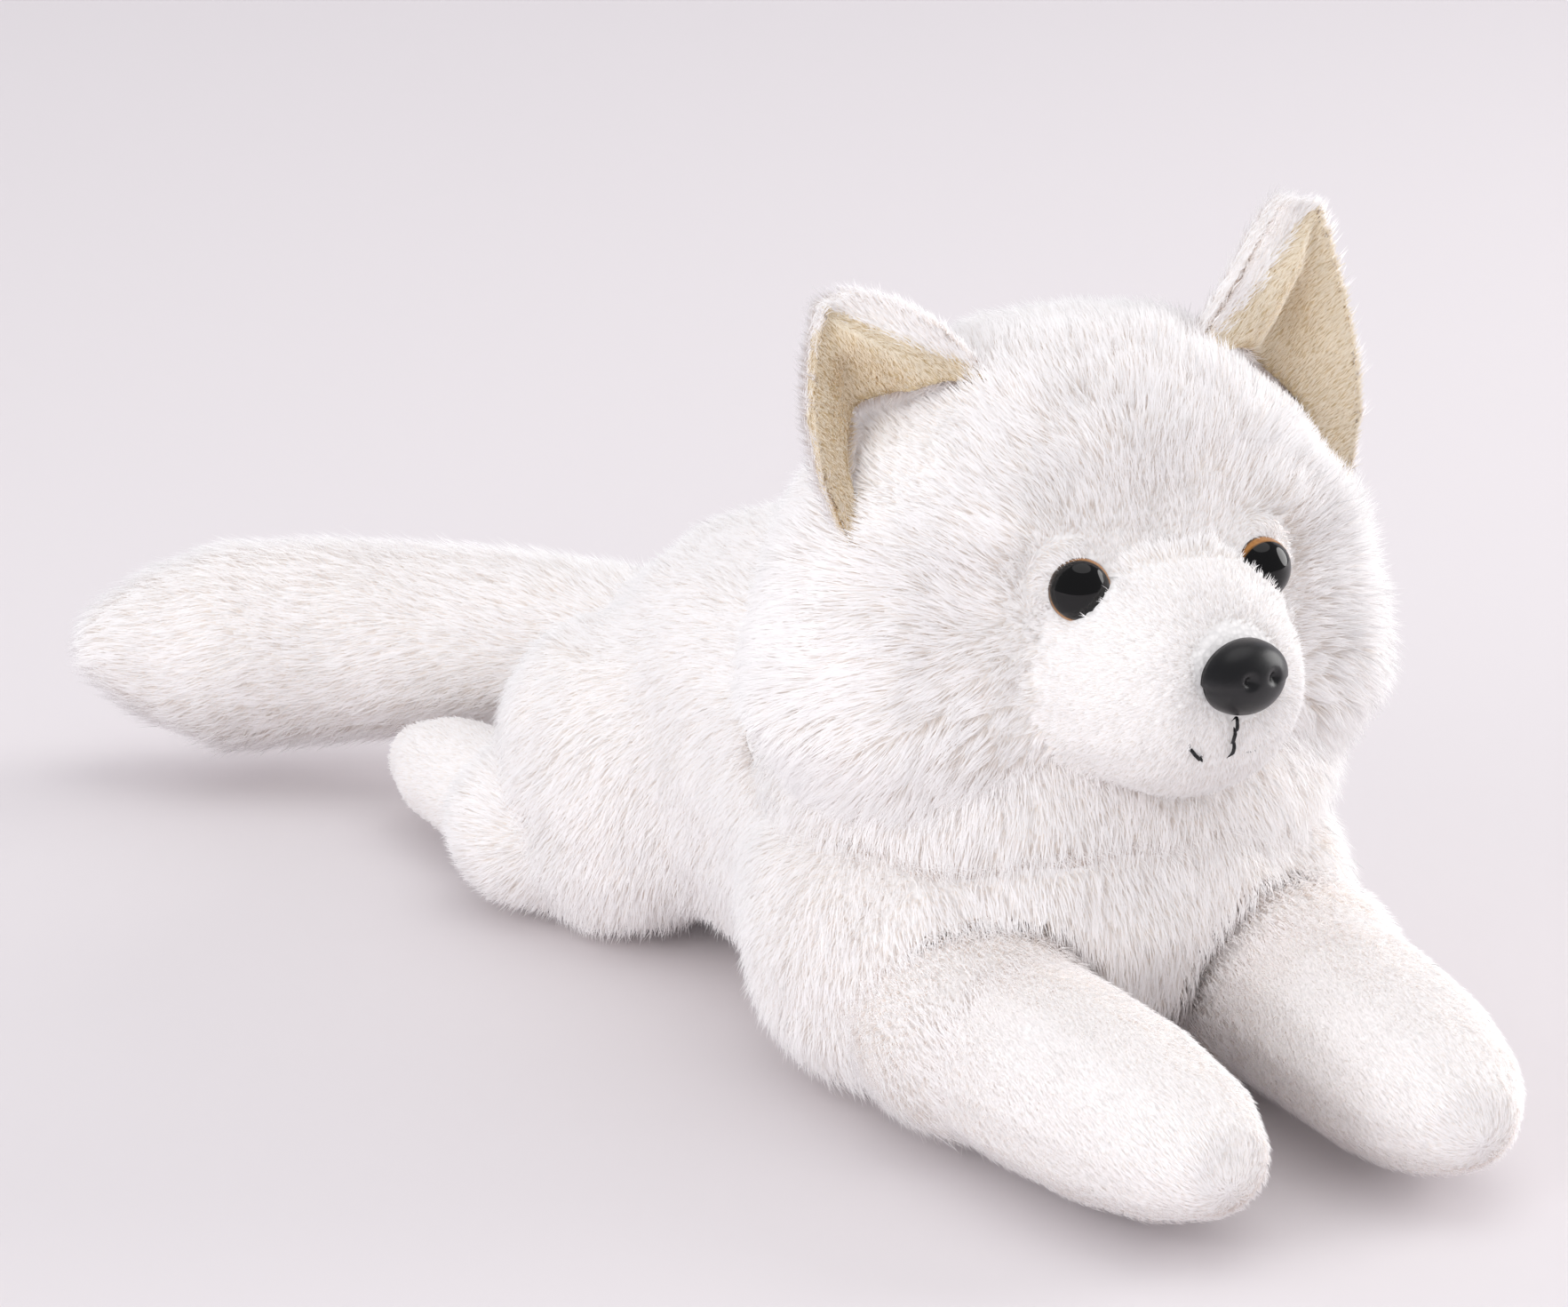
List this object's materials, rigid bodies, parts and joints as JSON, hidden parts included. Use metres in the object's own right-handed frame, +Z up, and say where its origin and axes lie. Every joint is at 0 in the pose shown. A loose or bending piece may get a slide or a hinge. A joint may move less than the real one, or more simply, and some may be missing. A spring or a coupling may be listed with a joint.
{
  "type": "plush toy dog",
  "caption": "Lying white plush dog toy with cream-lined pricked ears, shank eyes and nose, stitched mouth, splaying legs, and a head, ears and tail that bend on their seams.",
  "frame": {"origin": "on the floor under the middle of the dog's bounding box", "axes": "+Z up, -Y towards the nose, +X to the dog's left"},
  "size_m": [0.1724, 0.3902, 0.1685],
  "materials": {
    "long_plush": "long white polyester pile, brushed",
    "short_plush": "short dense white pile",
    "paw_plush": "medium white pile, combed flat",
    "ear_lining_plush": "short cream pile",
    "stuffing": "polyester fibre filling",
    "eye_plastic": "polished, with a brown rim round a black pupil",
    "nose_plastic": "moulded, satin gloss",
    "washer_plastic": "moulded, matte",
    "mouth_thread": "black embroidery thread"
  },
  "bodies": {
    "torso": {"body_cover_left": "long_plush", "body_cover_right": "long_plush", "belly_cover": "long_plush", "body_stuffing": "stuffing", "shoulder_cover_left": "long_plush", "shoulder_stuffing_left": "stuffing", "haunch_cover_left": "long_plush", "haunch_stuffing_left": "stuffing", "shoulder_cover_right": "long_plush", "shoulder_stuffing_right": "stuffing", "haunch_cover_right": "long_plush", "haunch_stuffing_right": "stuffing"},
    "neck": {"neck_stuffing": "stuffing"},
    "head": {"head_cover_left": "long_plush", "head_cover_right": "long_plush", "muzzle_cover": "short_plush", "head_stuffing": "stuffing", "muzzle_stuffing": "stuffing", "eye_left": "eye_plastic", "eye_right": "eye_plastic", "eye_washer_left": "washer_plastic", "eye_washer_right": "washer_plastic", "nose": "nose_plastic", "nose_washer": "washer_plastic", "mouth_stitch_center": "mouth_thread", "mouth_stitch_left": "mouth_thread", "mouth_stitch_right": "mouth_thread"},
    "ear_left": {"ear_back_left": "long_plush", "ear_lining_left": "ear_lining_plush"},
    "ear_right": {"ear_back_right": "long_plush", "ear_lining_right": "ear_lining_plush"},
    "front_leg_left": {"front_leg_cover_left": "paw_plush", "front_leg_stuffing_left": "stuffing"},
    "front_leg_right": {"front_leg_cover_right": "paw_plush", "front_leg_stuffing_right": "stuffing"},
    "hind_leg_left": {"hind_paw_cover_left": "paw_plush", "hind_paw_stuffing_left": "stuffing"},
    "hind_leg_right": {"hind_paw_cover_right": "paw_plush", "hind_paw_stuffing_right": "stuffing"},
    "tail_root": {"tail_root_stuffing": "stuffing"},
    "tail": {"tail_cover": "long_plush", "tail_stuffing": "stuffing"}
  },
  "joints": [
    {"name": "head_turn", "type": "hinge", "parent": "torso", "child": "neck", "pos_m": [0.01864, -0.07013, 0.09], "axis": [0, 0, 1], "range_deg": [-22, 22], "stiffness_Nm_per_rad": 0.5},
    {"name": "head_nod", "type": "hinge", "parent": "neck", "child": "head", "pos_m": [0.01864, -0.07013, 0.09], "axis": [1, 0, 0], "range_deg": [-10, 8], "stiffness_Nm_per_rad": 0.8},
    {"name": "ear_left_flex", "type": "hinge", "parent": "head", "child": "ear_left", "pos_m": [0.04308, -0.08413, 0.14566], "axis": [0.7169, 0, -0.6972], "range_deg": [-14, 14], "stiffness_Nm_per_rad": 0.05},
    {"name": "ear_right_flex", "type": "hinge", "parent": "head", "child": "ear_right", "pos_m": [-0.00724, -0.08413, 0.145], "axis": [0.7146, 0, 0.6995], "range_deg": [-14, 14], "stiffness_Nm_per_rad": 0.05},
    {"name": "front_leg_left_splay", "type": "hinge", "parent": "torso", "child": "front_leg_left", "pos_m": [0.04864, -0.11213, 0.021], "axis": [0, 0, 1], "range_deg": [-3, 20], "stiffness_Nm_per_rad": 0.3},
    {"name": "front_leg_right_splay", "type": "hinge", "parent": "torso", "child": "front_leg_right", "pos_m": [-0.01736, -0.11213, 0.021], "axis": [0, 0, -1], "range_deg": [-3, 20], "stiffness_Nm_per_rad": 0.3},
    {"name": "hind_leg_left_splay", "type": "hinge", "parent": "torso", "child": "hind_leg_left", "pos_m": [0.05864, 0.04987, 0.017], "axis": [0, 0, -1], "range_deg": [0, 20], "stiffness_Nm_per_rad": 0.3},
    {"name": "hind_leg_right_splay", "type": "hinge", "parent": "torso", "child": "hind_leg_right", "pos_m": [-0.02736, 0.04987, 0.017], "axis": [0, 0, 1], "range_deg": [0, 20], "stiffness_Nm_per_rad": 0.3},
    {"name": "tail_swing", "type": "hinge", "parent": "torso", "child": "tail_root", "pos_m": [0.01564, 0.06387, 0.045], "axis": [0, 0, 1], "range_deg": [-10, 4], "stiffness_Nm_per_rad": 0.5},
    {"name": "tail_lift", "type": "hinge", "parent": "tail_root", "child": "tail", "pos_m": [0.01564, 0.06387, 0.045], "axis": [1, 0, 0], "range_deg": [0, 22], "stiffness_Nm_per_rad": 1}
  ]
}
